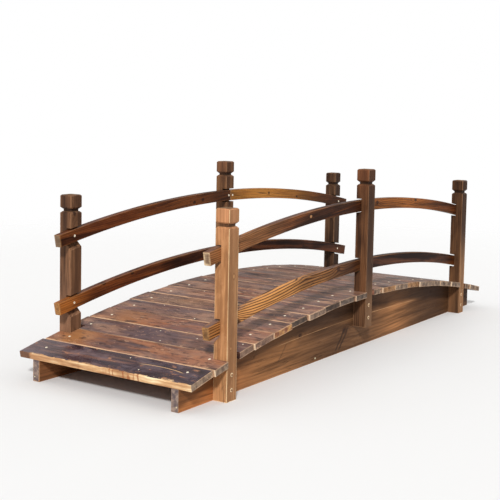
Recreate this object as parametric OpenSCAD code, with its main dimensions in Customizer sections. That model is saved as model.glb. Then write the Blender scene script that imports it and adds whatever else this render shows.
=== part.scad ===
// Small arched timber moon bridge for a garden path.
// Two arched beams carry a deck of cross planks; six capped posts are bolted to
// the outer faces of the beams and hold curved rails in housings.
// Lengths are millimetres. X runs along the bridge, Y across it, Z up.
// The origin is on the ground under the middle of the bridge.

/* [Beams] */

// Length of each beam
beam_length = 3300; // [3100:10:3500]
// Distance between the outer faces of the two beams
beam_spread = 904; // [804:10:1034]
// Thickness of each beam
beam_thickness = 42; // [34:1:60]
// Depth of a beam at its ends
beam_end_depth = 108; // [83:5:133]
// Depth of a beam at mid span
beam_mid_depth = 299; // [280:1:310]

/* [Deck] */

// Thickness of the cross planks
plank_thickness = 32; // [24:1:40]
// Gap between neighbouring planks
plank_gap = 3; // [1:0.5:8]
// Distance the plank ends pass the outer faces of the beams
plank_overhang = 79; // [40:1:90]
// Distance the first and last planks pass the ends of the beams
plank_nose = 4; // [0:1:20]
// Furthest that a plank sits to one side of the middle
plank_slip = 7; // [0:0.5:8]
// Eased edge of the planks
plank_edge = 2; // [1:0.5:4]
// Width of the cut that lets a post through the deck
post_cut_length = 112; // [100:1:130]
// Clearance between a post and the near side of its cut
post_cut_clearance = 2; // [1:0.5:6]

/* [Posts] */

// Side of the square posts
post_size = 77; // [76:1:86]
// Height of each post, cap included
post_height = 900; // [880:5:960]
// Distance from the ends of the beams to the centres of the end posts
post_inset = 298; // [260:2:340]
// Height of the middle post feet above the ground
mid_post_raise = 127; // [110:1:145]
// Height of the cap block
cap_height = 73; // [60:1:82]
// Bevel round the top of the cap block
cap_bevel = 6; // [3:1:14]
// Bevel round the underside of the cap block
cap_under_bevel = 10; // [4:1:11]
// Height of the neck between cap and post
neck_height = 12; // [8:1:20]
// Depth of the neck groove on each side
neck_depth = 12; // [10:1:18]
// Bevel round the shoulder below the neck
shoulder_bevel = 8; // [2:1:9]

/* [Rails] */

// Height of the rail section
rail_height = 64; // [56:1:70]
// Thickness of the rail section
rail_thickness = 38; // [34:1:44]
// Height of the top rail centre line at mid span
top_rail_crown = 819; // [800:1:840]
// Radius of the top rail centre line
top_rail_radius = 7490; // [7090:50:8090]
// Height of the lower rail centre line at mid span
low_rail_crown = 480; // [468:1:495]
// Radius of the lower rail centre line
low_rail_radius = 7200; // [6900:50:7800]
// Distance the rails run on past the end posts
rail_stub = 82; // [40:1:110]
// Gap where two rails meet on a middle post
rail_joint_gap = 1.5; // [1:0.5:6]
// Eased edge of the rails
rail_edge = 2.5; // [1:0.5:5]
// Depth of the housings cut in the posts
housing_depth = 32; // [24:1:38]
// Clearance above and below a rail in its housing
housing_clearance = 8; // [3:1:12]
// Fall of the sloping housing floors in the near posts
housing_fall = 30; // [15:1:40]

/* [Hidden] */

plank_count = 20;
arc_facets = 1440;
over = 40;
slip_step = 137;
right = -1;
left = 1;
near = -1;
far = 1;

half_length = beam_length / 2;
post_pitch = half_length - post_inset;
beam_rise = beam_mid_depth - beam_end_depth;
deck_radius = (half_length * half_length + beam_rise * beam_rise) / (2 * beam_rise);
deck_centre = beam_mid_depth - deck_radius;
deck_width = beam_spread + 2 * plank_overhang;
deck_half_angle = asin((half_length + plank_nose) / deck_radius);
plank_angle = 2 * deck_half_angle / plank_count;
plank_pitch = deck_radius * plank_angle * PI / 180;
plank_width = plank_pitch - plank_gap;

post_inner = beam_spread / 2;
rail_outer = post_inner + housing_depth;
rail_half = post_pitch + post_size / 2 + rail_stub;
shoulder_z = post_height - cap_height - neck_height;

// Height of a rail centre line above a point on the length of the bridge
function rail_z(crown, radius, x) = crown - radius + sqrt(radius * radius - x * x);

// Slope of a rail at a point on the length of the bridge
function rail_tilt(radius, x) = asin(x / radius);

// Side view of a beam: flat lower edge, arched upper edge
module beam_profile() {
    intersection() {
        translate([0, deck_centre])
            circle(r = deck_radius, $fn = arc_facets);
        translate([-half_length, 0])
            square([beam_length, 2 * beam_mid_depth]);
    }
}

module beam(side) {
    translate([0, side * (post_inner - beam_thickness / 2) + beam_thickness / 2, 0])
        rotate([90, 0, 0])
            linear_extrude(height = beam_thickness)
                beam_profile();
}

// Outline of a post seen from one side, with neck groove and cap
module post_profile() {
    half = post_size / 2;
    neck = half - neck_depth;
    cap_z = shoulder_z + neck_height;
    polygon([
        [-half, 0],
        [half, 0],
        [half, shoulder_z - shoulder_bevel],
        [half - shoulder_bevel, shoulder_z],
        [neck, shoulder_z],
        [neck, cap_z],
        [half - cap_under_bevel, cap_z],
        [half, cap_z + cap_under_bevel],
        [half, post_height - cap_bevel],
        [half - cap_bevel, post_height],
        [-half + cap_bevel, post_height],
        [-half, post_height - cap_bevel],
        [-half, cap_z + cap_under_bevel],
        [-half + cap_under_bevel, cap_z],
        [-neck, cap_z],
        [-neck, shoulder_z],
        [-half + shoulder_bevel, shoulder_z],
        [-half, shoulder_z - shoulder_bevel],
    ]);
}

// Square post standing at the origin, cut from two outlines at right angles
module post_block() {
    intersection() {
        rotate([90, 0, 0])
            translate([0, 0, -post_size / 2])
                linear_extrude(height = post_size)
                    post_profile();
        rotate([90, 0, 90])
            translate([0, 0, -post_size / 2])
                linear_extrude(height = post_size)
                    post_profile();
    }
}

// Section of a housing, drawn from its back wall at zero out past the post
module housing_section(side, fall) {
    half = rail_height / 2 + housing_clearance;
    mouth = -side * (housing_depth + over);
    polygon([
        [0, half],
        [mouth, half],
        [mouth, -half - fall],
        [-side * housing_depth, -half - fall],
        [0, -half],
    ]);
}

// Sloping housing for one rail, cut in the inner face of a post
module housing(side, x, crown, radius, fall) {
    length = post_size + over;
    translate([x, side * rail_outer, rail_z(crown, radius, x)])
        rotate([0, rail_tilt(radius, x), 0])
            translate([-length / 2, 0, 0])
                rotate([90, 0, 90])
                    linear_extrude(height = length)
                        housing_section(side, fall);
}

module post(side, x, raise, fall) {
    difference() {
        translate([x, side * (post_inner + post_size / 2), raise])
            post_block();
        housing(side, x, top_rail_crown, top_rail_radius, fall);
        housing(side, x, low_rail_crown, low_rail_radius, fall);
    }
}

// Section of a rail with eased edges, set off from the centre of its arc
module rail_section(radius) {
    r0 = radius - rail_height / 2;
    r1 = radius + rail_height / 2;
    t0 = -rail_thickness / 2;
    t1 = rail_thickness / 2;
    e = rail_edge;
    polygon([
        [r0 + e, t0],
        [r1 - e, t0],
        [r1, t0 + e],
        [r1, t1 - e],
        [r1 - e, t1],
        [r0 + e, t1],
        [r0, t1 - e],
        [r0, t0 + e],
    ]);
}

// Arched rail over one bay; the two bays meet on the middle post
module rail(side, end, crown, radius) {
    stub_angle = asin(rail_half / radius);
    joint_angle = asin(rail_joint_gap / 2 / radius);
    sweep = stub_angle - joint_angle;
    start = 90 + (end == near ? joint_angle : -stub_angle);
    translate([0, side * (rail_outer - rail_thickness / 2), crown - radius])
        rotate([90, 0, 0])
            rotate([0, 0, start])
                rotate_extrude(angle = sweep, $fn = arc_facets)
                    rail_section(radius);
}

// Cross plank with eased edges, numbered from the near end
module plank_blank(number) {
    angle = (number - (plank_count + 1) / 2) * plank_angle;
    w = plank_width / 2;
    t = plank_thickness;
    e = plank_edge;
    slip = plank_slip * sin(number * slip_step);
    translate([0, deck_width / 2 + slip, deck_centre])
        rotate([0, angle, 0])
            translate([0, 0, deck_radius])
                rotate([90, 0, 0])
                    linear_extrude(height = deck_width)
                        polygon([
                            [-w, 0],
                            [w, 0],
                            [w, t - e],
                            [w - e, t],
                            [-w + e, t],
                            [-w, t - e],
                        ]);
}

// Openings in both sides of the deck where a pair of posts comes through
module post_cuts(x) {
    start = x - post_size / 2 - post_cut_clearance;
    for (side = [right, left]) {
        y = side * (post_inner - post_cut_clearance + over * 2);
        translate([start + post_cut_length / 2, y, beam_mid_depth])
            cube([post_cut_length, over * 4, beam_mid_depth * 2], center = true);
    }
}

module plank(number) {
    difference() {
        plank_blank(number);
        post_cuts(-post_pitch);
        post_cuts(0);
        post_cuts(post_pitch);
    }
}

module beam_left() {
    color("peru") beam(left);
}

module beam_right() {
    color("peru") beam(right);
}

module post_near_left() {
    color("saddlebrown") post(left, -post_pitch, 0, housing_fall);
}

module post_near_right() {
    color("saddlebrown") post(right, -post_pitch, 0, housing_fall);
}

module post_mid_left() {
    color("saddlebrown") post(left, 0, mid_post_raise, 0);
}

module post_mid_right() {
    color("saddlebrown") post(right, 0, mid_post_raise, 0);
}

module post_far_left() {
    color("saddlebrown") post(left, post_pitch, 0, 0);
}

module post_far_right() {
    color("saddlebrown") post(right, post_pitch, 0, 0);
}

module top_rail_near_left() {
    color("sienna") rail(left, near, top_rail_crown, top_rail_radius);
}

module top_rail_near_right() {
    color("sienna") rail(right, near, top_rail_crown, top_rail_radius);
}

module top_rail_far_left() {
    color("sienna") rail(left, far, top_rail_crown, top_rail_radius);
}

module top_rail_far_right() {
    color("sienna") rail(right, far, top_rail_crown, top_rail_radius);
}

module low_rail_near_left() {
    color("sienna") rail(left, near, low_rail_crown, low_rail_radius);
}

module low_rail_near_right() {
    color("sienna") rail(right, near, low_rail_crown, low_rail_radius);
}

module low_rail_far_left() {
    color("sienna") rail(left, far, low_rail_crown, low_rail_radius);
}

module low_rail_far_right() {
    color("sienna") rail(right, far, low_rail_crown, low_rail_radius);
}

module plank_01() {
    color("rosybrown") plank(1);
}

module plank_02() {
    color("rosybrown") plank(2);
}

module plank_03() {
    color("rosybrown") plank(3);
}

module plank_04() {
    color("rosybrown") plank(4);
}

module plank_05() {
    color("rosybrown") plank(5);
}

module plank_06() {
    color("rosybrown") plank(6);
}

module plank_07() {
    color("rosybrown") plank(7);
}

module plank_08() {
    color("rosybrown") plank(8);
}

module plank_09() {
    color("rosybrown") plank(9);
}

module plank_10() {
    color("rosybrown") plank(10);
}

module plank_11() {
    color("rosybrown") plank(11);
}

module plank_12() {
    color("rosybrown") plank(12);
}

module plank_13() {
    color("rosybrown") plank(13);
}

module plank_14() {
    color("rosybrown") plank(14);
}

module plank_15() {
    color("rosybrown") plank(15);
}

module plank_16() {
    color("rosybrown") plank(16);
}

module plank_17() {
    color("rosybrown") plank(17);
}

module plank_18() {
    color("rosybrown") plank(18);
}

module plank_19() {
    color("rosybrown") plank(19);
}

module plank_20() {
    color("rosybrown") plank(20);
}

beam_left();
beam_right();
post_near_left();
post_near_right();
post_mid_left();
post_mid_right();
post_far_left();
post_far_right();
top_rail_near_left();
top_rail_near_right();
top_rail_far_left();
top_rail_far_right();
low_rail_near_left();
low_rail_near_right();
low_rail_far_left();
low_rail_far_right();
plank_01();
plank_02();
plank_03();
plank_04();
plank_05();
plank_06();
plank_07();
plank_08();
plank_09();
plank_10();
plank_11();
plank_12();
plank_13();
plank_14();
plank_15();
plank_16();
plank_17();
plank_18();
plank_19();
plank_20();
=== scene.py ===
import math
import random

import bmesh
import bpy
from mathutils import Matrix, Vector


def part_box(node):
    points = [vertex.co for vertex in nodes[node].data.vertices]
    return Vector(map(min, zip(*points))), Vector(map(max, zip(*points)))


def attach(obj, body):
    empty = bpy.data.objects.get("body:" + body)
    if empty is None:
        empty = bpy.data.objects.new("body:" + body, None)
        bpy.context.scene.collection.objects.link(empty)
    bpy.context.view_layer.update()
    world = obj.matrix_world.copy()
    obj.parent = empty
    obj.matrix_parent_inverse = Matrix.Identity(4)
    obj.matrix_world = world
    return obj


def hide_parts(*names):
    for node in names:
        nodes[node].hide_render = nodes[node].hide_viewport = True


# A small arched timber garden bridge, in metres. X runs from its near end to its far end, +Y is
# its left side, Z is up.

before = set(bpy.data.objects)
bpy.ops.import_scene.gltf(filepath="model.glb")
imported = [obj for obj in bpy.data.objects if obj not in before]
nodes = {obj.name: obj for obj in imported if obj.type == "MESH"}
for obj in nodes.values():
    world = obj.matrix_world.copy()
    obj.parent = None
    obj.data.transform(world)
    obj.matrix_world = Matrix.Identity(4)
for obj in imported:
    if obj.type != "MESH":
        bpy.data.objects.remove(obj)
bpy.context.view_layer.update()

# Sizes that the frame doesn't give

BEAM_END_DEPTH = 0.108
PLANK_THICK = 0.032
PLANK_GAP = 0.003
PLANK_NOSE = 0.004
PLANK_OVERHANG = 0.079
PLANK_SLIP = 0.007
PLANK_SLIP_STEP = 137
RAIL_HALF_HEIGHT = 0.032
RAIL_RADIUS = {"top": 7.49, "low": 7.2}
RAIL_STUB = 0.082
RAIL_JOINT_GAP = 0.0015

# Sizes read from the frame. e is the sign of X at an end, s the sign of Y on a side.

ENDS = {"near": -1, "mid": 0, "far": 1}
SIDES = {"left": 1, "right": -1}


def box_of(node):
    """The low and the high corner of a node's box, rounded to 0.01 mm."""
    return [[round(v, 5) for v in corner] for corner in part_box(node)]


beam_low, beam_high = box_of("beam_left")
HALF_LENGTH = beam_high[0]
BEAM_Y = (beam_low[1] + beam_high[1]) / 2
BEAM_HALF_THICK = (beam_high[1] - beam_low[1]) / 2
BEAM_DEPTH = beam_high[2]
BEAM_RISE = BEAM_DEPTH - BEAM_END_DEPTH
BEAM_RADIUS = (HALF_LENGTH ** 2 + BEAM_RISE ** 2) / (2 * BEAM_RISE)
BEAM_CENTRE = BEAM_DEPTH - BEAM_RADIUS

PLANKS = sum(name.startswith("plank_") for name in nodes)
PLANK_ANGLE = 2 * math.asin((HALF_LENGTH + PLANK_NOSE) / BEAM_RADIUS) / PLANKS
PLANK_HALF_WIDTH = (BEAM_RADIUS * PLANK_ANGLE - PLANK_GAP) / 2
PLANK_HALF_LENGTH = BEAM_Y + BEAM_HALF_THICK + PLANK_OVERHANG

post_low, post_high = box_of("post_far_left")
POST_X = (post_low[0] + post_high[0]) / 2
POST_Y = (post_low[1] + post_high[1]) / 2
POST_HALF_THICK = (post_high[1] - post_low[1]) / 2
POST_HALF_HEIGHT = (post_high[2] - post_low[2]) / 2
POST_RAISE = {end: box_of(f"post_{end}_left")[0][2] for end in ENDS}

rail_low, rail_high = box_of("top_rail_far_left")
RAIL_Y = (rail_low[1] + rail_high[1]) / 2
RAIL_HALF_THICK = (rail_high[1] - rail_low[1]) / 2
RAIL_CROWN = {level: box_of(f"{level}_rail_far_left")[1][2] - RAIL_HALF_HEIGHT for level in RAIL_RADIUS}
RAIL_END = POST_X + POST_HALF_THICK + RAIL_STUB

# Half sizes of the boards (along, across, through) for grain and wear. The rails' ends look worn
# because their half length is a few millimetres short. The beams' depth is rounded.

PLANK_HALF = (PLANK_HALF_LENGTH, PLANK_HALF_WIDTH, PLANK_THICK / 2)
BEAM_HALF = (HALF_LENGTH, 0.15, BEAM_HALF_THICK)
POST_HALF = (POST_HALF_HEIGHT, POST_HALF_THICK, POST_HALF_THICK)
RAIL_HALF = (0.737, RAIL_HALF_HEIGHT, RAIL_HALF_THICK)
RAIL_CHORD = 1.473

# Seeds of the random draws. Posts, rails and sides add steps of their own.

PLANK_SEED, PLANK_KNOT_SEED, PLANK_LOOK_SEED = 100, 50, 900
BEAM_SEED = 300
POST_SEED, POST_KNOT_SEED, POST_SEED_STEP = 500, 700, 13
RAIL_SEED, RAIL_LEVEL_STEP, RAIL_END_STEP = 1000, 100, 10
CHIP_SEED, SCREW_SEED = 41, 7


def rgb(r, g, b):
    """A display colour as the linear colour that the nodes take."""
    out = []
    for c in (r, g, b):
        c /= 255
        out.append(c / 12.92 if c <= 0.04045 else ((c + 0.055) / 1.055) ** 2.4)
    return (*out, 1.0)


# Node graphs


class Value:
    """An output in a node tree. Arithmetic on it adds math nodes."""

    def __init__(self, graph, socket):
        self.graph = graph
        self.socket = socket

    def __add__(self, other):
        return self.graph.math("ADD", self, other)

    def __sub__(self, other):
        return self.graph.math("SUBTRACT", self, other)

    def __rsub__(self, other):
        return self.graph.math("SUBTRACT", other, self)

    def __mul__(self, other):
        return self.graph.math("MULTIPLY", self, other)

    def __pow__(self, other):
        return self.graph.math("POWER", self, other)

    def __abs__(self):
        return self.graph.math("ABSOLUTE", self)


class Graph:
    """Short forms for writing a node tree as formulas."""

    def __init__(self, tree):
        self.tree = tree

    def node(self, kind, inputs=(), **settings):
        """Adds a node. A Value is linked to its input, anything else is set on it."""
        node = self.tree.nodes.new("ShaderNode" + kind)
        for key, value in settings.items():
            setattr(node, key, value)
        pairs = inputs.items() if isinstance(inputs, dict) else enumerate(inputs)
        for key, value in pairs:
            if isinstance(value, Value):
                self.tree.links.new(value.socket, node.inputs[key])
            elif value is not None:
                node.inputs[key].default_value = value
        return node

    def value(self, kind, inputs=(), output=0, **settings):
        """Adds a node and gives one of its outputs."""
        return Value(self, self.node(kind, inputs, **settings).outputs[output])

    def math(self, operation, a, b=None):
        return self.value("Math", (a, b), operation=operation)

    def least(self, a, b):
        return self.math("MINIMUM", a, b)

    def most(self, a, b):
        return self.math("MAXIMUM", a, b)

    def vector(self, operation, a, b=None):
        output = "Value" if operation in ("DOT_PRODUCT", "LENGTH") else "Vector"
        return self.value("VectorMath", (a, b), output, operation=operation)

    def split(self, vector):
        return [Value(self, s) for s in self.node("SeparateXYZ", [vector]).outputs]

    def attribute(self, name):
        return self.value("Attribute", output="Vector", attribute_name=name)

    def step(self, value, low, high, out_low=0.0, out_high=1.0):
        """Runs smoothly from out_low to out_high while the value runs from low to high."""
        inputs = (value, low, high, out_low, out_high)
        return self.value("MapRange", inputs, interpolation_type="SMOOTHSTEP")

    def band(self, value, start, full, still_full, stop):
        """1 between full and still_full, fading to 0 at start and at stop."""
        return self.step(value, start, full) * self.step(value, stop, still_full)

    def line(self, value, outer, inner):
        """A line where the value is zero: 1 within the inner distance, 0 past the outer one."""
        return self.step(abs(value), outer, inner)

    def bell(self, value, reach):
        """A bell curve: 1 where the value is zero, fading over the reach."""
        return self.math("EXPONENT", value * value * (-1 / reach ** 2))

    def length(self, a, b):
        return self.math("SQRT", a * a + b * b)

    def spot(self, a, b, outer, inner):
        """A round spot where both values are zero."""
        return self.step(self.length(a, b), outer, inner)

    def noise(self, at, scale, detail, rough=0.5, warp=0.0, output="Fac"):
        """Noise, with a scale for each axis."""
        at = self.vector("MULTIPLY", at, scale)
        inputs = {"Vector": at, "Scale": 1.0, "Detail": detail, "Roughness": rough, "Distortion": warp}
        return self.value("TexNoise", inputs, output)

    def mix(self, amount, a, b):
        """Mixes colours, which are inputs 6 and 7 and output 2."""
        return self.value("Mix", {0: amount, 6: a, 7: b}, 2, data_type="RGBA")

    def ramp(self, value, stops):
        node = self.node("ValToRGB", [value])
        marks = node.color_ramp.elements
        marks[0].position, marks[0].color = stops[0]
        marks[1].position, marks[1].color = stops[-1]
        for position, color in stops[1:-1]:
            marks.new(position).color = color
        return Value(self, node.outputs[0])


def new_material(name):
    """An empty material, and the graph that fills it."""
    material = bpy.data.materials.new(name)
    material.use_nodes = True
    material.node_tree.nodes.clear()
    return material, Graph(material.node_tree)


# Noise patterns of the wood: scale along, across and through the board, detail, roughness, distortion

PATTERNS = {
    "wander": ((1.4, 6, 6), 2.0),
    "fine": ((2.2, 90, 90), 3.0, 0.6),
    "streak": ((1.5, 24, 24), 4.0, 0.62, 0.4),
    "patch": ((2.6, 7, 7), 3.0, 0.6),
    "hue": ((1.1, 16, 16), 3.0, 0.6, 0.5),
    "blotch": ((8, 19, 19), 4.0, 0.6, 0.8),
    "cloud": ((3.0, 13, 13), 4.0, 0.62),
    "end_tone": ((34, 34, 34), 3.0, 0.55),
    "ragged": ((11, 50, 50), 3.0, 0.6),
    "run": ((3.2, 5, 5), 2.0),
    "fleck": ((24, 62, 62), 3.0, 0.6, 0.4),
    "cluster": ((4, 8, 8), 2.0),
    "vein": ((1.1, 34, 34), 2.0, 0.5, 0.6),
    "trodden": ((3.4, 9, 9), 3.0, 0.6, 0.5),
    "mottle": ((16, 40, 40), 4.0, 0.65),
    "scuff": ((34, 48, 48), 4.0, 0.68, 0.5),
    "scuff_place": ((5, 9, 9), 2.0),
    "chipping": ((14, 60, 60), 4.0, 0.65),
    "raw_tone": ((5, 40, 40), 3.0, 0.6),
    "drip": ((60, 4, 6), 2.0),
    "drip_place": ((4, 0, 0), 1.0),
    "haze": ((6, 13, 13), 4.0, 0.62, 0.4),
    "flake": ((13, 34, 34), 4.0, 0.65, 0.6),
}
NOISE_MIDDLE = 0.505

# The rings' bulge at a knot (along, across, height), its dark core and its rim, in knot sizes

KNOT_BULGE = (5, 2.6, 1.6)
KNOT_CORE = (1.0, 0.7)
KNOT_RIM = (1.6, 1.1, 0.9, 0.5)

# Stained boards


class Board:
    """A board whose material is being written: where a point lies on it, and its looks so far."""

    def __init__(self, name, look, seed, half):
        self.look = look
        self.draw = random.Random(seed).uniform
        self.material, self.g = new_material(name)
        self.noises = {}
        g = self.g
        grain = g.attribute("grain")
        self.along, self.across, self.depth = g.split(grain)
        self.at = g.vector("ADD", grain, [self.draw(0, 40) for _ in range(3)])
        normal = g.value("NewGeometry", output="True Normal")
        self.nx, self.ny, self.nz = g.split(normal)
        self.upward = g.step(self.nz, 0.6, 0.85)
        self.end = g.step(abs(g.vector("DOT_PRODUCT", normal, g.attribute("way"))), 0.75, 0.9)
        local = g.split(g.attribute("local"))
        self.from_end, self.from_side, self.from_face = (h - abs(v) for h, v in zip(half, local))
        self.from_front = local[1] + half[1]

    def noise(self, name):
        """One of the noise patterns, made once for this board."""
        if name not in self.noises:
            self.noises[name] = self.g.noise(self.at, *PATTERNS[name])
        return self.noises[name]

    def three_noises(self, name):
        return self.g.split(self.g.noise(self.at, *PATTERNS[name], output="Color"))

    def tint(self, amount, color):
        """Mixes a colour into the board's own."""
        self.color = self.g.mix(amount, self.color, color)

    def finish(self):
        """Joins colour, roughness and height in the material."""
        g = self.g
        bump = g.value("Bump", {"Height": self.height, "Strength": 0.7, "Distance": 0.0012})
        inputs = {"Base Color": self.color, "Roughness": self.rough, "Normal": bump}
        inputs["Specular IOR Level"] = self.look["specular"]
        g.node("OutputMaterial", [g.value("BsdfPrincipled", inputs)])
        return self.material


def growth_rings(board):
    """Rings round an off-centre pith, bulging at the knots, and the cores and rims of the knots."""
    g, sway = board.g, board.look["sway"]
    wander = board.three_noises("wander")
    pith = board.look.get("pith") or (board.draw(-0.05, 0.05), board.draw(0.05, 0.11))
    lean = (board.draw(-0.012, 0.012), board.draw(-0.03, 0.03))
    aside = board.across - pith[0] + (wander[0] - 0.5) * sway + board.along * lean[0]
    below = board.depth + pith[1] + (wander[1] - 0.5) * sway + board.along * lean[1]
    radius = g.length(aside, below)
    board.core = None
    for along, across, size in board.look["knots"]:
        far = board.along - along
        off = board.across - across
        long, wide, high = (k * size for k in KNOT_BULGE)
        bulge = far * far * (-1 / long ** 2) + off * off * (-1 / wide ** 2)
        radius = radius + g.math("EXPONENT", bulge) * high
        away = g.math("SQRT", far * far * 0.5 + off * off) + (wander[2] - 0.5) * (size * 0.8)
        core = g.step(away, *(k * size for k in KNOT_CORE))
        rim = g.band(away, *(k * size for k in KNOT_RIM))
        board.rim = g.most(board.rim, rim) if board.core else rim
        board.core = g.most(board.core, core) if board.core else core
    wave = g.math("SINE", radius * (2 * math.pi / board.look["ring"]) + board.noise("fine") * 2.5)
    board.rings = (wave * 0.5 + 0.5) ** 2.2


def stain(board):
    """Broad streaks between the look's dark, middle and light wood, redder stretches and blotches."""
    g, look = board.g, board.look
    share, spread = look["streak"], look["spread"]
    tone = board.noise("streak") * share + board.noise("patch") * (1 - share)
    board.tone = g.step(tone, NOISE_MIDDLE - spread, NOISE_MIDDLE + spread)
    board.color = g.ramp(board.tone, [(0.0, look["dark"]), (0.45, look["mid"]), (1.0, look["light"])])
    if look.get("red_mix"):
        board.tint(g.step(board.noise("hue"), 0.5, 0.66, 0, look["red_mix"]), look["red"])
    if look.get("blotch"):
        blotch = board.noise("blotch")
        board.tint(g.step(blotch, 0.52, 0.64, 0, look["blotch"]), look["bloom"])
        board.tint(g.step(blotch, 0.48, 0.36, 0, look["blotch"]), look["stain"])


def zone_tints(board):
    """Stretches of the board with a colour of their own: (centre, reach, colour, amount)."""
    g = board.g
    for centre, reach, color, amount in board.look["zones"]:
        weight = g.bell(board.along - centre, reach)
        streaks = board.noise("streak") + board.noise("hue") * 0.4
        board.tint(weight * g.step(streaks, 0.5, 0.78, 0.35, 1.0) * amount, color)


def grain_lines(board):
    """Late wood of the rings, fine pale and dark grain, and the knots."""
    g, look, fine = board.g, board.look, board.noise("fine")
    board.tint(board.rings * look["ring_mix"], look["late"])
    board.tint(g.step(fine, 0.52, 0.75, 0, 0.35), look["light"])
    board.tint(g.step(fine, 0.5, 0.3, 0, 0.4), look["dark"])
    if board.core:
        board.tint(board.core * 0.85, look["knot"])
        board.tint(board.rim * 0.7, look["late"])


def greying_and_painted_shade(board):
    """Greyed upper faces, and painted shade on the faces towards the right."""
    g, look = board.g, board.look
    if look.get("grey_mix"):
        grey = board.upward * g.step(board.noise("cloud"), 0.42, 0.62, 0, look["grey_mix"])
        board.tint(grey, look["grey"])
    # Painted shade on the faces that look to the right.
    if look.get("shade"):
        board.tint(g.step(board.ny, -0.6, -0.9, 0, look["shade"]), look["shadow"])


def end_grain(board):
    """End faces, on the rails with a darker heart."""
    g, look = board.g, board.look
    dark, light = look["ends"]
    color = g.mix(g.step(board.noise("end_tone"), 0.3, 0.7), dark, light)
    color = g.mix(board.rings * 0.35, color, dark)
    if look.get("end_core"):
        inner = g.step(g.least(board.from_side, board.from_face), 0.004, 0.013, 0, look["end_core"])
        color = g.mix(inner, color, look["end_heart"])
    board.tint(board.end, color)


def worn_arrises(board):
    """Edges worn down to the raw wood, most of all the front edge of a plank."""
    g, look, ragged, run = board.g, board.look, board.noise("ragged"), board.noise("run")
    least = g.least(board.from_end, board.from_side)
    most = g.most(board.from_end, board.from_side)
    from_arris = g.most(least, g.least(most, board.from_face))
    reach = g.step(ragged, 0.3, 0.72, 0.25, 1.0) * look["wear_width"]
    board.wear = g.step(from_arris - reach, 0.0014, -0.0006)
    board.wear = board.wear * g.step(run, 0.34, 0.6, look["wear_low"], look["wear"])
    board.tint(board.wear, look["raw"])
    if look.get("front"):
        reach = g.step(ragged, 0.3, 0.7, 0.4, 1.0) * 0.006
        bare = g.step(board.from_front - reach, 0.002, -0.001) * (1 - board.end)
        bare = bare * g.step(run, 0.38, 0.58, look["front_low"], 1.0)
        board.tint(bare * look["front"], look["raw"])


def recess_shade_and_end_highlights(board):
    """Painted shade in grooves and housings, and painted highlights on the front corners at the ends of
    the planks.
    """
    g, look = board.g, board.look
    if look.get("recess_shade"):
        inset = g.step(g.least(board.from_side, board.from_face), 0.004, 0.01)
        board.tint(inset * g.step(board.nz, 0.5, 0.2) * look["recess_shade"], RECESS_SHADE)
    # Painted highlight on the front corners at the plank ends.
    if look.get("corner"):
        near_end = g.step(board.from_end + board.noise("ragged") * 0.004, 0.011, 0.006)
        leading = g.step(board.from_front, 0.0016, 0.0008)
        board.tint(near_end * leading * look["corner"], END_HIGHLIGHT)


def flecks_and_cracks(board):
    """Clusters of small pale flecks, and dark cracks along the grain."""
    g, look = board.g, board.look
    if look.get("flecks"):
        fleck = g.step(board.noise("fleck"), 0.6, 0.66) * g.step(board.noise("cluster"), 0.53, 0.62)
        board.tint(fleck * look["flecks"], look["fleck"])
    crack = g.line(board.noise("vein") - 0.5, 0.012, 0.004) * g.step(board.noise("patch"), 0.5, 0.62)
    board.crack = crack * (1 - board.end)
    board.tint(board.crack * look["crack"], CRACK)


def from_curve(board, crown, bend, wobble):
    """Height above a wavering curve along the board, whose crown is (along, across)."""
    off = board.along - crown[0]
    return board.across - crown[1] + off * off * bend + (board.noise(wobble) - 0.5) * 0.004


def surface(board):
    """Roughness, and the height that the bump map takes."""
    board.rough = (1 - board.tone) * 0.14 + board.look["rough"] + board.end * 0.2
    height = board.rings * 0.35 + board.noise("fine") * 0.5
    board.height = height - board.crack * 1.6 + board.noise("ragged") * 0.2


def timber(name, look, seed, half, special=None):
    """The material of a stained softwood board of the given half size."""
    board = Board(name + "_wood", look, seed, half)
    growth_rings(board)
    stain(board)
    zone_tints(board)
    grain_lines(board)
    greying_and_painted_shade(board)
    end_grain(board)
    worn_arrises(board)
    recess_shade_and_end_highlights(board)
    flecks_and_cracks(board)
    surface(board)
    if special:
        special(board)
    return board.finish()


# Looks: colours of the wood and of single layers, amounts from 0 to 1, and lengths in metres

TAN, ORANGE, PLUM = rgb(182, 140, 114), rgb(170, 108, 70), rgb(92, 72, 76)
AMBER, HONEY = rgb(196, 120, 56), rgb(208, 142, 66)
COCOA, RUSSET = rgb(46, 28, 20), rgb(128, 66, 34)
# The first colour below is painted shade for grooves and housings.
RECESS_SHADE, CRACK = rgb(40, 25, 17), rgb(28, 16, 12)
# The first colour below is a painted highlight for the front corners of the plank ends.
END_HIGHLIGHT, NAIL = rgb(236, 212, 180), rgb(222, 212, 178)

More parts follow.
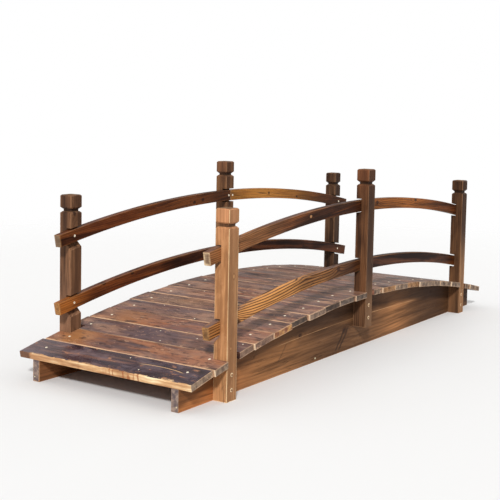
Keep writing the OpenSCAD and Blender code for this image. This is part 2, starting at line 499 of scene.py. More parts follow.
PLAIN = dict(
    ring=0.009, sway=0.06, streak=0.6, spread=0.14, wear_low=0.2, wear_width=0.004,
    knots=(), zones=(),
)
DECK = dict(
    PLAIN, dark=rgb(54, 36, 34), mid=rgb(132, 92, 74), light=rgb(194, 148, 116), late=rgb(80, 48, 38),
    raw=rgb(226, 186, 150), ends=(rgb(84, 64, 52), rgb(158, 134, 112)), knot=rgb(160, 104, 74),
    red=rgb(170, 94, 60), red_mix=0.6, grey=rgb(104, 86, 90), grey_mix=0.5, fleck=rgb(226, 178, 140),
    flecks=0.8, blotch=0.55, bloom=rgb(186, 132, 108), stain=rgb(80, 58, 60), spread=0.11, streak=0.55,
    ring_mix=0.35, crack=0.8, wear=0.6, wear_low=0.1, wear_width=0.005, front_low=0.1, rough=0.36,
    specular=0.3, glow=(), bites=(),
)
BEAM = dict(
    PLAIN, dark=rgb(68, 45, 29), mid=rgb(94, 65, 43), light=rgb(126, 88, 57), late=rgb(74, 47, 29),
    raw=rgb(196, 150, 106), ends=(rgb(92, 80, 82), rgb(160, 138, 124)), knot=rgb(56, 34, 24),
    spread=0.2, streak=0.7, ring=0.016, ring_mix=0.3, sway=0.1, crack=0.35, wear=0.6, rough=0.55,
    specular=0.12,
)
# Posts: the faces towards the right get painted shade, and so do the grooves and housings.
POST = dict(
    PLAIN, dark=rgb(54, 36, 26), mid=rgb(94, 64, 44), light=rgb(138, 98, 68), late=rgb(58, 36, 25),
    raw=rgb(172, 130, 96), ends=(rgb(88, 64, 46), rgb(150, 116, 84)), knot=rgb(50, 30, 20),
    shade=0.4, shadow=rgb(58, 37, 24), recess_shade=0.8, ring=0.01, ring_mix=0.35, crack=0.5, wear=0.5,
    rough=0.5, specular=0.14,
)
RAIL = dict(
    PLAIN, dark=rgb(40, 22, 15), mid=rgb(80, 46, 28), light=rgb(134, 82, 44), late=rgb(36, 20, 13),
    raw=rgb(162, 114, 72), ends=(rgb(150, 120, 92), rgb(224, 198, 160)), knot=rgb(52, 30, 20),
    end_core=0.75, end_heart=rgb(104, 78, 62), grey=rgb(112, 84, 76), grey_mix=0.6, spread=0.11,
    pith=(0.16, 0.03), ring=0.01, ring_mix=0.6, crack=0.7, wear=0.5, rough=0.34, specular=0.07,
)


def look_of(base, gain=(1, 1, 1), **own):
    """A look with its wood colours multiplied, and with entries of its own."""
    made = dict(base)
    for key in ("dark", "mid", "light", "late"):
        made[key] = (*(c * k for c, k in zip(base[key], gain)), 1.0)
    made.update(own)
    return made


def random_knots(seed, half, count, sizes):
    """Knots at random places of a board: (along, across, size)."""
    draw = random.Random(seed).uniform
    return [(draw(-0.85, 0.85) * half[0], draw(-0.7, 0.7) * half[1], draw(*sizes)) for _ in range(count)]


# Shapes

ROUNDING = dict(segments=2, profile=0.6, affect="EDGES", clamp_overlap=True)


def skin(bm, rows):
    """Faces between neighbouring rows of vertices, and a cap at each end."""
    count = len(rows[0])
    for one, two in zip(rows, rows[1:]):
        for k in range(count):
            after = (k + 1) % count
            bm.faces.new((one[k], one[after], two[after], two[k]))
    bm.faces.new(rows[0])
    bm.faces.new(rows[-1])
    bmesh.ops.recalc_face_normals(bm, faces=bm.faces)


def mesh_of(bm, name):
    mesh = bpy.data.meshes.new(name)
    bm.to_mesh(mesh)
    bm.free()
    return mesh


def add_object(name, data):
    o = bpy.data.objects.new(name, data)
    bpy.context.scene.collection.objects.link(o)
    return o


def softened(name, edge_radius=0.0016):
    """A copy of a CAD node's mesh with its sharp edges rounded."""
    bm = bmesh.new()
    bm.from_mesh(nodes[name].data)
    bmesh.ops.remove_doubles(bm, verts=bm.verts, dist=2e-5)
    bmesh.ops.dissolve_limit(bm, angle_limit=math.radians(0.25), verts=bm.verts, edges=bm.edges)
    sharp = [e for e in bm.edges if len(e.link_faces) == 2 and e.calc_face_angle(0) > math.radians(25)]
    bmesh.ops.bevel(bm, geom=sharp, offset=edge_radius, **ROUNDING)
    return mesh_of(bm, name + "_wood")


def dress(mesh, name, slot, material, grain, *place):
    """Sets a mesh in the place of its CAD node. grain gives a point's attributes, as plank_grain does."""
    made = [mesh.attributes.new(key, "FLOAT_VECTOR", "POINT") for key in ("grain", "local", "way")]
    for i, v in enumerate(mesh.vertices):
        for attribute, value in zip(made, grain(v.co, *place)):
            attribute.data[i].vector = value
    mesh.materials.append(material)
    for f in mesh.polygons:
        f.use_smooth = True
    o = add_object(name + "_wood", mesh)
    normals = o.modifiers.new("normals", "WEIGHTED_NORMAL")
    normals.keep_sharp = True
    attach(o, "root")
    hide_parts(name)


# Planks

PLANK_LOOKS = {
    2: dict(
        gain=(1.1, 1.0, 0.95), front=0.85, front_low=0.6, patches=(0.25, 0.55, 0.45),
        zones=[(0.36, 0.22, ORANGE, 0.6), (-0.35, 0.25, ORANGE, 0.45)],
        glow=[(0.4, 0.11, rgb(172, 116, 68), 0.75), (-0.4, 0.1, rgb(166, 112, 84), 0.5)],
        bites=[(-0.45, 0.1, 0.022), (0.2, 0.2, 0.008)],
    ),
    3: dict(
        gain=(0.68, 0.66, 0.74), front=0.12, patches=(0.7, 0.2, 0.5),
        zones=[(0.1, 0.4, PLUM, 0.7), (-0.2, 0.15, TAN, 0.35)],
        glow=[(0.05, 0.15, rgb(82, 66, 76), 0.7), (-0.42, 0.08, rgb(92, 66, 66), 0.6)],
        ends=(rgb(96, 70, 56), rgb(142, 112, 92)),
    ),
    4: dict(
        gain=(1.05, 0.95, 0.9), front=0.7, front_low=0.6, patches=(0.25, 0.55, 0.5),
        zones=[(0.25, 0.2, ORANGE, 0.55), (-0.45, 0.2, ORANGE, 0.5)],
        glow=[(0.33, 0.13, rgb(168, 114, 74), 0.7), (-0.3, 0.2, rgb(150, 104, 90), 0.4)],
        bites=[(0.36, 0.14, 0.01), (-0.2, 0.1, 0.008)],
        ends=(rgb(92, 66, 54), rgb(150, 118, 98)),
    ),
    5: dict(
        gain=(0.85, 0.8, 0.85), front=0.12, patches=(0.6, 0.2, 0.5),
        zones=[(0.3, 0.3, PLUM, 0.5), (-0.3, 0.2, TAN, 0.4)],
        glow=[(-0.15, 0.2, rgb(172, 138, 120), 0.4)], bites=[(-0.2, 0.1, 0.008)],
        ends=(rgb(122, 74, 50), rgb(200, 150, 90)),
    ),
    6: dict(
        front=0.3, patches=(0.5, 0.3, 0.5), zones=[(0.0, 0.3, TAN, 0.4)],
        glow=[(0.25, 0.15, rgb(128, 96, 72), 0.4)],
        ends=(rgb(56, 44, 38), rgb(92, 74, 62)),
    ),
    7: dict(
        front=0.55, patches=(0.55, 0.2, 0.5), zones=[(-0.3, 0.3, PLUM, 0.4), (0.3, 0.2, TAN, 0.3)],
        bites=[(-0.1, 0.14, 0.014), (0.3, 0.1, 0.008)],
        ends=(rgb(98, 78, 66), rgb(146, 122, 104)),
    ),
    # The dark end of plank 8 is painted shade.
    8: dict(front=0.2, patches=(0.4, 0.2, 0.5), ends=(rgb(46, 34, 28), rgb(84, 64, 52))),
    9: dict(front=0.1, patches=(0.45, 0.25, 0.4), ends=(rgb(76, 62, 54), rgb(124, 106, 92))),
    10: dict(front=0.45, bites=[(-0.1, 0.2, 0.01)], ends=(rgb(60, 46, 38), rgb(112, 92, 76))),
    11: dict(front=0.25),
    12: dict(ends=(rgb(104, 70, 42), rgb(178, 132, 88))),
    14: dict(ends=(rgb(110, 76, 48), rgb(186, 140, 96))),
}
LAST_NEAR_PLANK = 8
# The far planks' colours are multiplied by this gain, which paints shade on them.
FAR_PLANK_SHADE_GAIN = 0.5
FAR_PLANK_WEAR = 0.35
PLANK_KNOTS = (1, 0, 1, 2)
BITTEN, DEEP_STAIN, PALE_CHIP = rgb(222, 180, 140), rgb(58, 38, 36), rgb(206, 160, 130)

# The first plank: its colours, its crack, a nail and the chips

RAW_TONES = [(0.32, rgb(158, 108, 70)), (0.5, rgb(214, 168, 120)), (0.68, rgb(250, 230, 186))]
WET_TONES = [(0.3, rgb(24, 17, 27)), (0.5, rgb(52, 42, 56)), (0.72, rgb(118, 104, 112))]
BROWNED, DARK_CORNER, DRIP = rgb(176, 122, 80), rgb(84, 46, 30), rgb(150, 78, 32)
WARM_STREAK, FLAKE, PALE_WET = rgb(150, 104, 84), rgb(176, 122, 92), rgb(112, 102, 108)
CRACK_LIP, CRACK_GAPE, PLANK_NAIL = rgb(206, 166, 126), rgb(18, 12, 14), rgb(214, 196, 166)
RIFT_CROWN = (-0.265, 0.0335)
RIFT_BEND = 0.75
RIFT_SPAN = (-0.43, -0.4, -0.19, -0.14)
PLANK_NAIL_PLACE = (0.446, -0.077)
CHIPS = 34
CHIP_STEPS = 250


def plank_look(number):
    """A plank's look: drawn at random, but for the entries that PLANK_LOOKS sets."""
    rnd = random.Random(PLANK_LOOK_SEED + number)
    own = PLANK_LOOKS.get(number, {})
    near = number <= LAST_NEAR_PLANK
    knots = PLANK_KNOTS[number % len(PLANK_KNOTS)]
    gain = rnd.uniform(0.85, 1.2) * (1.0 if near else FAR_PLANK_SHADE_GAIN)
    drawn = dict(
        gain=(gain, gain * rnd.uniform(0.94, 1.03), gain * rnd.uniform(0.94, 1.06)),
        front=rnd.uniform(0.05, 0.3),
        corner=rnd.uniform(0.35, 0.95),
        knots=random_knots(PLANK_KNOT_SEED + number, PLANK_HALF, knots, (0.006, 0.011)),
    )
    if not near:
        drawn["wear"] = FAR_PLANK_WEAR
    if "zones" not in own:
        zone = (rnd.uniform(-0.5, 0.5), rnd.uniform(0.15, 0.3), rnd.choice((TAN, ORANGE, PLUM)), 0.4)
        drawn["zones"] = [zone]
    if number > 1 and "patches" not in own:
        drawn["patches"] = [rnd.uniform(0.1, 0.42) for _ in range(3)]
    return look_of(DECK, **(drawn | own))


def trodden(board):
    """Planks: patches of worn stain, bites from the front edge, scuffs and small pale chips."""
    g, look = board.g, board.look
    top = board.upward * (1 - board.wear)
    plum, orange, tan = board.three_noises("trodden")
    share = look["patches"]
    board.tint(g.step(plum, 0.48, 0.64, 0, share[0]) * top, PLUM)
    board.tint(g.step(orange, 0.48, 0.66, 0, share[1]) * top, ORANGE)
    board.tint(g.step(tan, 0.5, 0.68, 0, share[2]) * top, TAN)
    for centre, reach, color, amount in look["glow"]:
        off = board.along - centre + (plum - 0.5) * reach
        board.tint(g.bell(off, reach) * top * amount, color)
    for centre, reach, width in look["bites"]:
        bite = g.bell(board.along - centre, reach) * width
        bite = bite * g.step(board.noise("ragged"), 0.36, 0.62, 0.2, 1.0)
        bare = g.step(board.from_front - bite, 0.001, -0.001)
        board.tint(bare * top * 0.9, BITTEN)
    board.tint(g.step(board.noise("mottle"), 0.48, 0.34, 0, 0.75) * top, DEEP_STAIN)
    chips = g.step(board.noise("scuff"), 0.585, 0.64) * g.step(board.noise("scuff_place"), 0.46, 0.6)
    board.tint(chips * (top * 0.62), PALE_CHIP)
    board.rough = board.rough - g.step(plum, 0.48, 0.66) * 0.14
    board.height = board.height - chips * 0.5


def bare_front(board):
    """Where the first plank is raw wood: its front face, and chips along the edge above it."""
    g = board.g
    chip = g.step(board.noise("chipping"), 0.42, 0.72, 0, 0.02)
    chip = g.step(board.from_front - chip, 0.001, -0.001)
    return g.most(g.step(board.nx, -0.36, -0.5), chip * (1 - board.end))


def front_color(board):
    """Raw wood with drips of stain, browner to the left and dark at the left corner."""
    g = board.g
    raw = g.ramp(board.noise("raw_tone"), RAW_TONES)
    raw = g.mix(g.step(board.along, 0.15, 0.45) * 0.55, raw, BROWNED)
    corner = g.step(board.along + board.noise("chipping") * 0.05, 0.475, 0.5, 0, 0.85)
    raw = g.mix(corner, raw, DARK_CORNER)
    drips = g.step(board.noise("drip"), 0.55, 0.62) * g.step(board.noise("drip_place"), 0.48, 0.56)
    return g.mix(drips * 0.8, raw, DRIP)


def wet_color(board):
    """Dark wet stain with a bluish haze, warm streaks and flakes, paler to the left."""
    g = board.g
    wet = g.ramp(board.noise("haze"), WET_TONES)
    wet = g.mix(g.step(board.noise("streak"), 0.56, 0.68, 0, 0.5), wet, WARM_STREAK)
    wet = g.mix(g.step(board.noise("flake"), 0.6, 0.645, 0, 0.75), wet, FLAKE)
    return g.mix(g.step(board.along, 0.25, 0.5, 0, 0.4), wet, PALE_WET)


def curved_crack(board, top):
    """A curved crack by the right screw with a pale front lip. Gives how far it gapes."""
    g = board.g
    rift = from_curve(board, RIFT_CROWN, RIFT_BEND, "chipping")
    span = g.band(board.along, *RIFT_SPAN) * top
    board.tint(g.line(rift + 0.006, 0.0042, 0.002) * span * 0.85, CRACK_LIP)
    gape = g.line(rift, 0.003, 0.0012) * span
    board.tint(gape, CRACK_GAPE)
    return gape


def first_plank(board):
    """The wet first plank: dark top, raw front edge, a crack, and a nail at its left end."""
    g = board.g
    bare = bare_front(board)
    top = board.upward * (1 - bare)
    board.tint(top * 0.88, wet_color(board))
    board.tint(bare, front_color(board))
    gape = curved_crack(board, top)
    along, across = PLANK_NAIL_PLACE
    nail = g.spot(board.along - along, board.across - across, 0.0042, 0.003)
    board.tint(nail * board.upward, PLANK_NAIL)
    board.rough = g.mix(top, board.rough, g.step(board.noise("haze"), 0.35, 0.65, 0.12, 0.4))
    board.height = board.height - gape * 2.0


def plank_frame(number):
    """Matrix from a plank's own coordinates (X across it, Y along it, Z up) to the bridge."""
    angle = (number - (PLANKS + 1) / 2) * PLANK_ANGLE
    slip = PLANK_SLIP * math.sin(math.radians(number * PLANK_SLIP_STEP))
    turn = Matrix.Rotation(angle, 4, "Y")
    return Matrix.Translation((0, slip, BEAM_CENTRE)) @ turn @ Matrix.Translation((0, 0, BEAM_RADIUS))


def plank_grain(point, back):
    """Where a point lies on a plank, for grain and for wear, and the way of the grain."""
    own = back @ point
    at = (own.y, own.x, own.z - PLANK_THICK / 2)
    return at, at, (0, 1, 0)


def chipped_mesh(name, place):
    """The first plank as a sweep along its length, its upper front edge broken away in chips."""
    draw = random.Random(CHIP_SEED).uniform
    chips = [(draw(-0.53, 0.53), draw(0.006, 0.034), draw(0.001, 0.0075)) for _ in range(CHIPS)]
    half, thick, soft, edge = PLANK_HALF_WIDTH, PLANK_THICK, 0.0008, 0.002
    bm = bmesh.new()
    rows = []
    for i in range(CHIP_STEPS + 1):
        y = PLANK_HALF_LENGTH * (2 * i / CHIP_STEPS - 1)
        lost = max(depth * (1 - min(1, ((y - at) / reach) ** 2)) ** 0.5 for at, reach, depth in chips)
        back, down = edge + lost, edge + 0.6 * lost
        section = [
            (-half + soft, 0), (half - soft, 0), (half, soft), (half, thick - edge),
            (half - edge, thick), (-half + back, thick), (-half + 0.4 * back, thick - 0.45 * down),
            (-half, thick - down), (-half, soft),
        ]
        rows.append([bm.verts.new(place @ Vector((x, y, z))) for x, z in section])
    skin(bm, rows)
    for e in bm.edges:
        e.smooth = e.calc_face_angle(0) < math.radians(30)
    return mesh_of(bm, name + "_wood")


def build_planks():
    for number in range(1, PLANKS + 1):
        name = f"plank_{number:02d}"
        special = first_plank if number == 1 else trodden
        material = timber(name, plank_look(number), PLANK_SEED + number, PLANK_HALF, special)
        place = plank_frame(number)
        mesh = chipped_mesh(name, place) if number == 1 else softened(name, 0.0012)
        dress(mesh, name, "deck_timber", material, plank_grain, place.inverted())


# Beams

BEAM_KNOTS = [(-0.14, -0.03, 0.016), (-0.62, 0.02, 0.011), (1.02, 0.03, 0.012), (-1.3, -0.06, 0.01)]
BEAM_NEAR_END = {"left": rgb(150, 96, 60), "right": rgb(202, 130, 76)}
# The dark stretch at the far end of the beams is painted shade.
BEAM_ZONES = [
    (-0.9, 0.35, rgb(176, 122, 76), 0.7), (0.5, 0.22, rgb(188, 130, 82), 0.85),
    (1.15, 0.28, rgb(60, 37, 22), 0.8),
]
BEAM_BEND = round(BEAM_RISE / HALF_LENGTH ** 2, 4)
# The first colour below is the painted shadow of the deck on the beams.
DECK_SHADOW, ABOVE_JOINT, JOINT = rgb(50, 31, 20), rgb(60, 38, 24), rgb(206, 158, 112)
TWIN_SCAR, SINGLE_SCAR = rgb(44, 30, 24), rgb(40, 28, 24)
JOINT_CROWN = (0.05, 0.023)
JOINT_BEND = 0.0225
JOINT_SPAN = (-0.86, -0.78, 0.7, 0.8)
SCAR_SLOPE = -0.9
OUTER_FACE = (BEAM_HALF_THICK - 0.0015, BEAM_HALF_THICK - 0.0005)
END_NAIL_PLACE = (0.009, -0.126)
FACE_NAIL_PLACE = (-0.459, -0.13)


def painted_deck_shadow(board, outer):
    """Painted shadow of the planks on the top strip of the outer face."""
    g = board.g
    top = BEAM_DEPTH - BEAM_HALF[1] - board.along * board.along * BEAM_BEND
    under = top - board.across + (board.noise("streak") - 0.5) * 0.02
    board.tint(g.step(under, 0.105, 0.075) * outer * 0.6, DECK_SHADOW)


def joint_line(board, outer):
    """A pale curved line, and slightly darker wood above it."""
    g = board.g
    height = from_curve(board, JOINT_CROWN, JOINT_BEND, "fine")
    reach = g.band(board.along, *JOINT_SPAN)
    line = g.line(height, 0.002, 0.0007) * reach * g.step(board.noise("run"), 0.36, 0.5, 0.35, 1.0)
    board.tint(g.step(height, 0.0015, 0.03) * reach * 0.25, ABOVE_JOINT)
    board.tint(line * outer * 0.85, JOINT)


def slanting(board, along, across, wobble):
    """Zero on a wavering slanting line through a place of the face."""
    slant = board.along - along + (board.across - across) * SCAR_SLOPE
    return slant + (board.noise("patch") - 0.5) * wobble


def beam_marks(board):
    """Painted shadow of the deck, joint line, slanting dark scars and nail heads of a beam."""
    g = board.g
    outer = g.step(board.depth, *OUTER_FACE)
    painted_deck_shadow(board, outer)
    joint_line(board, outer)
    twin = g.line(abs(slanting(board, -0.165, -0.075, 0.06)) - 0.02, 0.016, 0.004)
    twin = twin * g.line(board.across + 0.075, 0.062, 0.045)
    board.tint(twin * outer * 0.7, TWIN_SCAR)
    single = g.line(slanting(board, -0.8, -0.05, 0.05), 0.01, 0.003)
    single = single * g.line(board.across + 0.04, 0.05, 0.03)
    board.tint(single * outer * 0.35, SINGLE_SCAR)
    near_face = g.step(board.along, 0.001 - HALF_LENGTH, 0.0005 - HALF_LENGTH)
    depth, across = END_NAIL_PLACE
    board.tint(g.spot(board.depth - depth, board.across - across, 0.0036, 0.0026) * near_face, NAIL)
    along, across = FACE_NAIL_PLACE
    board.tint(g.spot(board.along - along, board.across - across, 0.0062, 0.0045) * outer, NAIL)


def beam_grain(point, s):
    """As plank_grain, for a beam. The outer face has positive depth."""
    at = (point.x, point.z - BEAM_HALF[1], s * (point.y - s * BEAM_Y))
    return at, at, (1, 0, 0)


def build_beams():
    for side, s in SIDES.items():
        name = "beam_" + side
        zones = [(-1.45, 0.4, BEAM_NEAR_END[side], 0.9), *BEAM_ZONES]
        look = look_of(BEAM, knots=BEAM_KNOTS, zones=zones)
        material = timber(name, look, BEAM_SEED + s, BEAM_HALF, beam_marks)
        dress(softened(name), name, "beam_timber", material, beam_grain, s)


# Posts

# The posts' colours are partly their own and partly painted light and shade: the near right post is
# painted sunlit and the far posts shaded. foot is painted sunlight on the outer face.
POST_LOOKS = {
    ("near", "left"): dict(gain=(1.28, 1.3, 1.36), zones=[(-0.22, 0.2, rgb(164, 122, 94), 0.6)]),
    ("near", "right"): dict(
        dark=rgb(140, 96, 62), mid=rgb(174, 122, 80), light=rgb(206, 154, 106), late=rgb(132, 88, 54),
        raw=rgb(238, 204, 158), wear=0.85, wear_low=0.35, wear_width=0.003, ring_mix=0.3, crack=0.3,
        knot=rgb(214, 160, 108), knots=[(0.135, 0.004, 0.009), (-0.2, -0.01, 0.005)], spread=0.16,
        shadow=rgb(118, 86, 58), blotch=0.45, bloom=rgb(208, 152, 106), stain=rgb(140, 102, 72),
        zones=[(0.42, 0.1, rgb(214, 150, 108), 0.8)],
    ),
    ("mid", "left"): dict(gain=(1.2, 1.2, 1.1), zones=[(0.45, 0.1, rgb(140, 94, 68), 0.5)]),
    ("mid", "right"): dict(
        gain=(0.75, 0.68, 0.62), shade=0.7, foot=(rgb(122, 88, 60), -0.36, -0.12),
        zones=[(0.47, 0.12, rgb(150, 92, 60), 0.6), (-0.38, 0.1, rgb(110, 80, 58), 0.6)],
    ),
    ("far", "left"): dict(gain=(0.5, 0.5, 0.5)),
    ("far", "right"): dict(
        gain=(0.52, 0.5, 0.48), shade=0.7, foot=(rgb(158, 114, 76), -0.2, 0.12),
        zones=[(-0.35, 0.2, rgb(150, 106, 72), 0.7)],
    ),
}


def painted_sunlit_foot(board):
    """Painted sunlight on the outer face of a right post, from its foot up."""
    g = board.g
    color, full, none = board.look["foot"]
    sunlit = g.step(board.ny, -0.6, -0.9) * g.step(board.along, none, full)
    board.tint(sunlit * g.step(board.noise("streak"), 0.3, 0.6, 0.5, 0.95), color)


def post_grain(point, middle):
    """As plank_grain, for a post."""
    off = point - middle
    at = (off.z, off.x, off.y)
    return at, at, (0, 0, 1)


def build_posts():
    for end, e in ENDS.items():
        for side, s in SIDES.items():
            name = f"post_{end}_{side}"
            seed = s + POST_SEED_STEP * e
            knots = random_knots(POST_KNOT_SEED + seed, POST_HALF, 3, (0.006, 0.01))
            own = {"knots": knots} | POST_LOOKS[end, side]
            special = painted_sunlit_foot if "foot" in own else None
            material = timber(name, look_of(POST, **own), POST_SEED + seed, POST_HALF, special)
            middle = Vector((e * POST_X, s * POST_Y, POST_RAISE[end] + POST_HALF_HEIGHT))
            dress(softened(name), name, "post_timber", material, post_grain, middle)


# Rails

RAIL_LOOKS = {
    ("top", "near", "left"): dict(
        gain=(0.85, 0.75, 0.7), zones=[(-0.3, 0.35, RUSSET, 0.5), (0.65, 0.2, COCOA, 0.7)], ring_mix=0.4,
        ends=(rgb(100, 80, 62), rgb(142, 118, 94)), end_core=0.3,
    ),
    ("top", "near", "right"): dict(
        gain=(1.05, 0.88, 0.76), zones=[(-0.55, 0.4, rgb(178, 122, 78), 0.8), (0.6, 0.35, COCOA, 0.95)],
        knot=rgb(184, 134, 92), knots=[(0.15, 0.004, 0.01)],
    ),
    ("top", "far", "left"): dict(
        gain=(1.6, 1.4, 1.1), zones=[(-0.35, 0.5, HONEY, 1.0), (0.55, 0.35, COCOA, 0.7)], ring_mix=0.5,
    ),
    ("top", "far", "right"): dict(
        gain=(1.05, 0.86, 0.7), zones=[(-0.3, 0.45, AMBER, 0.65), (0.65, 0.25, COCOA, 0.5)],
    ),
    ("low", "near", "left"): dict(
        gain=(0.95, 0.8, 0.74), zones=[(-0.7, 0.14, AMBER, 0.8), (-0.3, 0.3, RUSSET, 0.4)], ring_mix=0.4,
        ends=(rgb(132, 88, 50), rgb(206, 150, 90)), end_core=0.3,
    ),
    ("low", "near", "right"): dict(
        zones=[(-0.2, 0.5, rgb(236, 166, 96), 1.0), (0.62, 0.25, COCOA, 0.7)], late=rgb(52, 25, 12),
        ring=0.0125, ring_mix=0.98, pith=(0.11, 0.03), sway=0.05, grey=rgb(122, 98, 92), grey_mix=0.85,
        wear=0.2, ends=(rgb(112, 80, 50), rgb(186, 138, 88)), end_core=0.3,
        knots=[(0.46, 0.0, 0.01), (-0.52, -0.045, 0.016), (0.12, 0.05, 0.012)],
    ),
    ("low", "far", "left"): dict(gain=(0.6, 0.48, 0.4), grey_mix=0.35),
    ("low", "far", "right"): dict(gain=(0.52, 0.42, 0.36), grey_mix=0.35),
}
RAIL_SOFT = 0.003
RAIL_STEPS = 56


def rail_section():
    """The corners of a rail's section, (outward from the arc's centre, across), rounded off."""
    section = []
    for up, out in ((1, 1), (-1, 1), (-1, -1), (1, -1)):
        for k in range(4):
            angle = math.radians(30 * k if up * out > 0 else 90 - 30 * k)
            radial = RAIL_HALF_HEIGHT - RAIL_SOFT + RAIL_SOFT * math.cos(angle)
            across = RAIL_HALF_THICK - RAIL_SOFT + RAIL_SOFT * math.sin(angle)
            section.append((up * radial, out * across))
    return section


def rail_mesh(name, crown, radius, e, s):
    """Sweeps the section along the arc of a rail."""
    first, last = sorted(e * math.asin(x / radius) for x in (RAIL_JOINT_GAP / 2, RAIL_END))
    section = rail_section()
    bm = bmesh.new()
    rows = []
    for i in range(RAIL_STEPS + 1):
        angle = first + (last - first) * i / RAIL_STEPS
        row = []
        for radial, across in section:
            reach = radius + radial
            z = crown - radius + reach * math.cos(angle)
            row.append(bm.verts.new((reach * math.sin(angle), s * RAIL_Y + across, z)))
        rows.append(row)
    skin(bm, rows)
    ends = [edge for edge in bm.edges if edge.calc_face_angle(0) > math.radians(60)]
    bmesh.ops.bevel(bm, geom=ends, offset=0.0012, **ROUNDING)
    return mesh_of(bm, name + "_wood")


def rail_grain(point, crown, radius, e, s):
    """As plank_grain, for a rail. The grain is straight, and the wear follows the curve."""
    mid = e * math.asin(RAIL_CHORD / radius) / 2
    middle = Vector((radius * math.sin(mid), 0, crown - radius + radius * math.cos(mid)))
    chord = Vector((math.cos(mid), 0, -math.sin(mid)))
    rise = Vector((math.sin(mid), 0, math.cos(mid)))
    x, z = point.x, point.z - (crown - radius)
    depth = s * point.y - RAIL_Y
    straight = ((point - middle).dot(chord), (point - middle).dot(rise), depth)
    curved = ((math.atan2(x, z) - mid) * radius, math.hypot(x, z) - radius, depth)
    return straight, curved, chord


def build_rail(level, end, side):
    name = f"{level}_rail_{end}_{side}"
    e, s = ENDS[end], SIDES[side]
    crown, radius = RAIL_CROWN[level], RAIL_RADIUS[level]
    seed = RAIL_SEED + RAIL_LEVEL_STEP * (level == "low") + RAIL_END_STEP * (e + 1) + s
    knots = random_knots(seed, RAIL_HALF, 2, (0.005, 0.009))
    own = {"knots": knots} | RAIL_LOOKS[level, end, side]
    material = timber(name, look_of(RAIL, **own), seed, RAIL_HALF)
    mesh = rail_mesh(name, crown, radius, e, s)
    dress(mesh, name, "rail_timber", material, rail_grain, crown, radius, e, s)


def build_rails():
    for level, end, side in RAIL_LOOKS:
        build_rail(level, end, side)


# Fasteners: profiles are (radius, height) pairs

SCREW = [
    (0.0066, -0.0006), (0.0066, 0.0005), (0.0052, 0.0013),
    (0.0026, 0.0015), (0.0018, 0.0005), (0, -0.0006),
]
SMALL_NAIL = [(r * 0.55, h * 0.7) for r, h in SCREW]
WASHER = [(0.0096, -0.0004), (0.0096, 0.0011), (0.009, 0.0017), (0.005, 0.0017)]
DOME = [(0.006, 0.0012), (0.0059, 0.003), (0.0046, 0.0043), (0.0024, 0.0049), (0, 0.005)]
DULL_SPOTS = ((240, 240, 240), 3.0)

# Places in millimetres: screws of the near planks across their plank, nails as (plank, across, along)

SCREW_OFFSETS = {-1: (25, 15, 20, 20, 25, 15, 15, 15), 1: (0, -15, -5, -15, -5, -15, -15, -10)}
SMALL_NAILS = [
    (1, -35, -195), (1, 55, -70), (3, 35, -230), (3, 55, 15), (3, -55, -70), (3, 60, -485),
    (5, -60, -25), (5, 65, 275), (6, -65, -285), (7, 70, 260), (8, 50, -255),
]
MILLIMETRE = 0.001
FAR_SCREW_OFFSET = 0.014
BOLT_HEIGHTS = (0.053, 0.125)
RAIL_SCREW_XS = (-POST_X - 0.018, -0.02, 0.02, POST_X + 0.008)


def steel(name, low, high, metallic):
    """Zinc that is dull in spots."""
    material, g = new_material(name)
    spots = g.noise(g.value("TexCoord", output="Object"), *DULL_SPOTS)
    color = g.ramp(spots, [(0.35, low), (0.6, high), (1.0, high)])
    rough = g.step(spots, 0.3, 0.7, 0.5, 0.34)
    inputs = {"Base Color": color, "Roughness": rough, "Metallic": metallic}
    g.node("OutputMaterial", [g.value("BsdfPrincipled", inputs)])
    return material


def lathe(bm, profile, turn, sides=16):
    """Adds a turned shape, placed by the matrix turn."""
    angles = [2 * math.pi * k / sides for k in range(sides)]
    rows = []
    for r, h in profile:
        ring = [(r * math.cos(a), r * math.sin(a), h) for a in angles] if r else [(0, 0, h)]
        rows.append([bm.verts.new(turn @ Vector(p)) for p in ring])
    for low, high in zip(rows, rows[1:]):
        for k in range(sides):
            j = (k + 1) % sides
            tip = (high[0],) if len(high) == 1 else (high[j], high[k])
            bm.faces.new((low[k], low[j], *tip))


def facing(at, direction):
    """Matrix that sets a turned shape at a place, its axis along the direction."""
    return Matrix.Translation(at) @ Vector(direction).to_track_quat("Z", "Y").to_matrix().to_4x4()


def fastener_object(name, bm, material):
    bmesh.ops.recalc_face_normals(bm, faces=bm.faces)
    mesh = mesh_of(bm, name)
    mesh.materials.append(material)
    o = add_object(name, mesh)
    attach(o, "root")


def deck_screws(material):
    draw = random.Random(SCREW_SEED).uniform
    bm = bmesh.new()
    for number in range(1, PLANKS + 1):
        place = plank_frame(number)
        up = place.to_3x3() @ Vector((0, 0, 1))
        for s in (-1, 1):
            if number <= LAST_NEAR_PLANK:
                x = SCREW_OFFSETS[s][number - 1] * MILLIMETRE
            else:
                x = draw(-0.006, 0.006) - s * FAR_SCREW_OFFSET
            at = place @ Vector((x, s * BEAM_Y + draw(-0.005, 0.005), PLANK_THICK))
            lathe(bm, SCREW, facing(at, up))
        for plank, x, y in SMALL_NAILS:
            if plank == number:
                at = place @ Vector((x * MILLIMETRE, y * MILLIMETRE, PLANK_THICK))
                lathe(bm, SMALL_NAIL, facing(at, up))
    fastener_object("deck_screws", bm, material)


def post_fasteners(name, profile, material):
    bm = bmesh.new()
    for end, e in ENDS.items():
        for s in (-1, 1):
            for height in BOLT_HEIGHTS:
                at = (e * POST_X, s * (POST_Y + POST_HALF_THICK), POST_RAISE[end] + height)
                lathe(bm, profile, facing(at, (0, s, 0)), 20)
    fastener_object(name, bm, material)


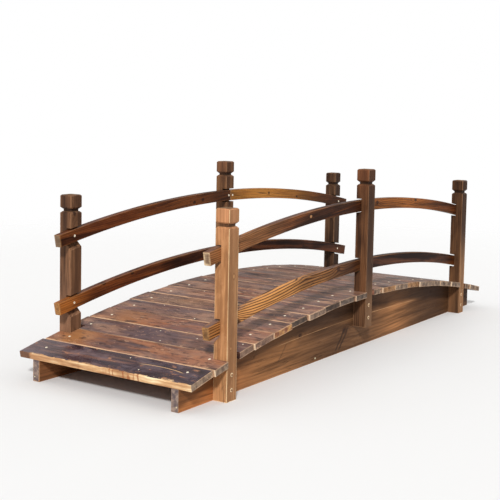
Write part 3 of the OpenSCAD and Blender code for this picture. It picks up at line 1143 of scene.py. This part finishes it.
def rail_screws(material):
    bm = bmesh.new()
    for level, radius in RAIL_RADIUS.items():
        for s in (-1, 1):
            for x in RAIL_SCREW_XS:
                z = RAIL_CROWN[level] - radius + math.sqrt(radius ** 2 - x ** 2)
                lathe(bm, SCREW, facing((x, s * (RAIL_Y - RAIL_HALF_THICK), z), (0, -s, 0)))
    fastener_object("rail_screws", bm, material)


def build_fasteners():
    bright = steel("screw_steel", rgb(222, 206, 176), rgb(255, 247, 228), 0.12)
    zinc = steel("washer_steel", rgb(196, 166, 126), rgb(248, 226, 186), 0.2)
    rusty = steel("bolt_steel", rgb(110, 70, 44), rgb(168, 124, 84), 0.3)
    deck_screws(bright)
    post_fasteners("post_washers", WASHER, zinc)
    post_fasteners("post_bolts", DOME, rusty)
    rail_screws(bright)


# Stage

FLOOR_SIZE = 60
FLOOR_FADE = (3.0, 7.5)
FLOOR_COLOR = (0.85, 0.86, 0.875, 1)
SKY_COLOR = (1.0, 0.975, 0.94, 1)
SKY_STRENGTH = 0.46

# Name, direction, strength, spread in degrees and colour of each lamp

LAMPS = [
    ("key", (0.73, 0.45, -0.6), 2.6, 6, (1.0, 0.985, 0.96)),
    ("fill", (0.25, -0.8, -0.75), 0.4, 60, (1, 1, 1)),
    ("back", (-0.85, 0.1, -0.6), 0.6, 60, (1, 1, 1)),
]

# The camera as fitted to the photo: place, yaw, pitch and roll in degrees, focal length in pixels

CAMERA_PLACE = (-5.26242, -3.25847, 1.36508)
CAMERA_TURN = (33.106, 4.528, -1.194)
CAMERA_SHIFT = (-0.036, -0.12)
FOCAL_PIXELS = 1046.72
PHOTO_PIXELS = 500
SENSOR = 36


def build_floor():
    """A pale floor that fades out into the white behind it."""
    bpy.ops.mesh.primitive_grid_add(
        x_subdivisions=4, y_subdivisions=4, size=FLOOR_SIZE, location=(0, 0, 0)
    )
    floor = bpy.context.object
    floor.name = "floor"
    material, g = new_material("floor")
    where = g.value("NewGeometry", output="Position")
    far = g.step(g.vector("LENGTH", where), *FLOOR_FADE)
    plain = g.value("BsdfDiffuse", {"Color": FLOOR_COLOR})
    clear = g.value("BsdfTransparent")
    g.node("OutputMaterial", [g.value("MixShader", (far, plain, clear))])
    floor.data.materials.append(material)


def build_world():
    """White where the camera sees it, and a soft warm sky for the light."""
    world = bpy.data.worlds.new("studio")
    bpy.context.scene.world = world
    world.use_nodes = True
    world.node_tree.nodes.clear()
    g = Graph(world.node_tree)
    path = g.node("LightPath")
    rays = [Value(g, path.outputs[key]) for key in ("Is Camera Ray", "Is Transmission Ray")]
    soft = g.value("Background", {"Color": SKY_COLOR, "Strength": SKY_STRENGTH})
    white = g.value("Background", {"Color": (1, 1, 1, 1), "Strength": 1.0})
    both = g.value("MixShader", (g.most(*rays), soft, white))
    g.node("OutputWorld", [both])


def build_lamps():
    for name, towards, strength, spread, color in LAMPS:
        lamp = bpy.data.lights.new(name, "SUN")
        lamp.energy = strength
        lamp.angle = math.radians(spread)
        lamp.color = color
        o = add_object(name, lamp)
        o.rotation_mode = "QUATERNION"
        o.rotation_quaternion = Vector(towards).to_track_quat("-Z", "Y")


def build_camera():
    yaw, pitch, roll = (math.radians(a) for a in CAMERA_TURN)
    ahead = Vector((math.cos(yaw) * math.cos(pitch), math.sin(yaw) * math.cos(pitch), -math.sin(pitch)))
    side = Vector((math.sin(yaw), -math.cos(yaw), 0))
    down = ahead.cross(side)
    x_axis = math.cos(roll) * side + math.sin(roll) * down
    y_axis = math.sin(roll) * side - math.cos(roll) * down
    cam = bpy.data.cameras.new("camera")
    cam.sensor_width = SENSOR
    cam.lens = FOCAL_PIXELS / PHOTO_PIXELS * SENSOR
    cam.shift_x, cam.shift_y = CAMERA_SHIFT
    cam.clip_start, cam.clip_end = 0.05, 200
    o = add_object("camera", cam)
    turn = Matrix((x_axis, y_axis, -ahead)).transposed().to_4x4()
    o.matrix_world = Matrix.Translation(CAMERA_PLACE) @ turn
    bpy.context.scene.camera = o


build_planks()
build_beams()
build_posts()
build_rails()
build_fasteners()
build_floor()
build_world()
build_lamps()
build_camera()

bpy.context.scene.view_settings.view_transform = "Standard"
